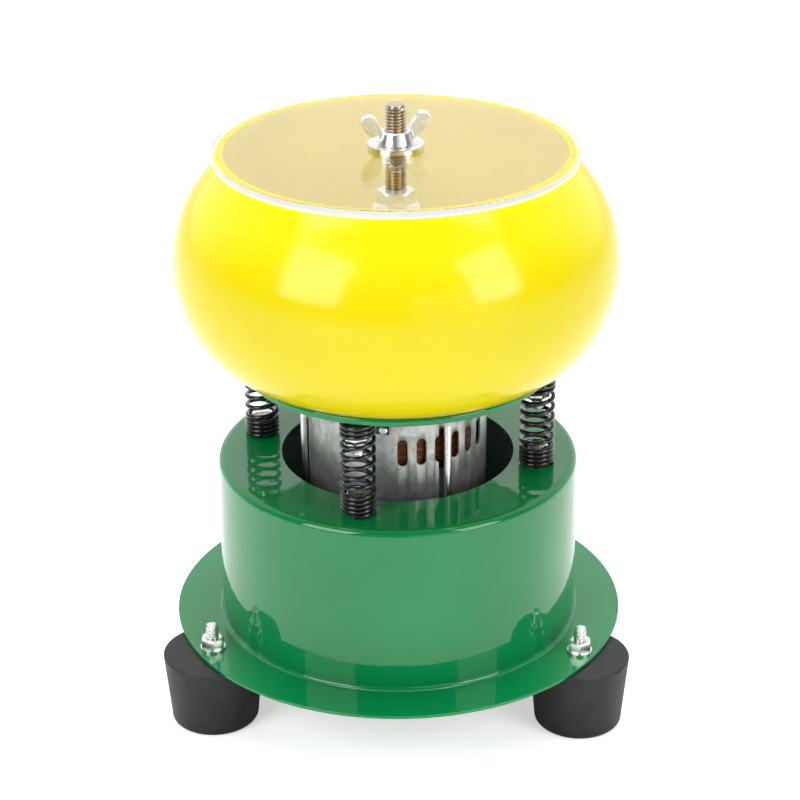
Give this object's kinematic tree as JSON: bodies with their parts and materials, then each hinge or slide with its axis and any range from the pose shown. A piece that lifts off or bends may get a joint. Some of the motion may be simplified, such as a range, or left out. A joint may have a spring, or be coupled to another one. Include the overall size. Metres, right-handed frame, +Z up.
{
  "type": "vibratory rock tumbler",
  "caption": "Vibratory tumbler: a lidded bowl on a plate that four coil springs carry over a drum base, with a hanging motor whose off-centre weights shake it.",
  "frame": {"origin": "on the floor under the three feet, on the axis of the drum, bowl and centre stud", "axes": "+Z up along the centre stud; +X to the right and +Y to the back as seen from the front"},
  "size_m": [0.2243, 0.2358, 0.2947],
  "materials": {
    "green_enamel": "glossy green enamel on pressed steel",
    "yellow_plastic": "glossy moulded plastic, yellow",
    "clear_acrylic": "clear polished acrylic sheet",
    "zinc_plate": "bright zinc-plated steel",
    "dark_stud": "plated threaded steel with brown-toned grooves",
    "black_spring": "black oiled spring wire",
    "black_rubber": "moulded rubber, satin",
    "motor_sheet": "mottled galvanised sheet",
    "copper_winding": "enamelled copper wire under varnish",
    "core_steel": "stacked electrical steel",
    "cast_aluminium": "cast aluminium",
    "dark_steel": "dark steel",
    "weight_steel": "cast iron, oiled"
  },
  "bodies": {
    "base": {"base_shell": "green_enamel", "cord_grommet": "black_rubber", "foot_1": "black_rubber", "foot_2": "black_rubber", "foot_3": "black_rubber", "foot_studs": "zinc_plate", "foot_washers": "zinc_plate", "foot_nuts": "zinc_plate", "lower_spring_bolts": "zinc_plate", "lower_spring_plugs": "dark_steel", "lower_spring_washers": "zinc_plate", "lower_spring_nuts": "zinc_plate", "spring_1": "black_spring", "spring_2": "black_spring", "spring_3": "black_spring", "spring_4": "black_spring"},
    "platform": {"plate": "green_enamel", "upper_spring_studs": "zinc_plate", "upper_spring_plugs": "dark_steel", "upper_spring_washers": "zinc_plate", "upper_spring_nuts": "zinc_plate", "centre_stud": "dark_stud", "stud_plate_nuts": "zinc_plate", "motor_standoffs": "zinc_plate", "tie_rods": "zinc_plate", "motor_top_shield": "motor_sheet", "motor_bottom_shield": "motor_sheet", "motor_can": "motor_sheet", "stator_core": "core_steel", "upper_winding": "copper_winding", "lower_winding": "copper_winding", "slot_coils": "copper_winding", "earth_tab": "dark_steel", "earth_screw": "zinc_plate", "upper_bearing": "dark_steel", "lower_bearing": "dark_steel"},
    "rotor": {"shaft": "dark_steel", "rotor_core": "core_steel", "rotor_end_rings": "cast_aluminium", "cooling_fan": "cast_aluminium", "upper_weight": "weight_steel", "lower_weight": "weight_steel", "set_screws": "dark_steel", "thrust_collars": "dark_steel"},
    "bowl": {"bowl": "yellow_plastic", "hub_seal": "black_rubber"},
    "hub_washer": {"hub_washer": "zinc_plate"},
    "hub_nut": {"hub_nut": "zinc_plate"},
    "lid": {"lid": "clear_acrylic"},
    "lid_washer": {"lid_washer": "zinc_plate"},
    "wing_nut": {"wing_nut": "zinc_plate"}
  },
  "joints": [
    {"name": "platform_bounce", "type": "slide", "parent": "base", "child": "platform", "axis": [0, 0, 1], "range_m": [-0.006, 0.005], "stiffness_N_per_m": 46000, "springref_m": 0.00078, "deforming": ["spring_1", "spring_2", "spring_3", "spring_4"]},
    {"name": "rotor_spin", "type": "hinge", "parent": "platform", "child": "rotor", "pos_m": [0, 0, 0.1], "axis": [0, 0, 1], "continuous": true},
    {"name": "bowl_lift", "type": "slide", "parent": "platform", "child": "bowl", "axis": [0, 0, 1], "range_m": [0, 0.14]},
    {"name": "hub_nut_travel", "type": "slide", "parent": "bowl", "child": "hub_washer", "axis": [0, 0, 1], "range_m": [0, 0.01501]},
    {"name": "hub_nut_turn", "type": "hinge", "parent": "hub_washer", "child": "hub_nut", "pos_m": [0, 0, 0.247], "axis": [0, 0, 1], "range_deg": [0, 3600]},
    {"name": "lid_lift", "type": "slide", "parent": "bowl", "child": "lid", "axis": [0, 0, 1], "range_m": [0, 0.06]},
    {"name": "wing_nut_travel", "type": "slide", "parent": "lid", "child": "lid_washer", "axis": [0, 0, 1], "range_m": [0, 0.01951]},
    {"name": "wing_nut_turn", "type": "hinge", "parent": "lid_washer", "child": "wing_nut", "pos_m": [0, 0, 0.281], "axis": [0, 0, 1], "range_deg": [0, 4680]}
  ],
  "couplings": [
    {"joint": "hub_nut_travel", "follows": "hub_nut_turn", "m_per_rad": 0.00023873},
    {"joint": "wing_nut_travel", "follows": "wing_nut_turn", "m_per_rad": 0.00023873}
  ]
}
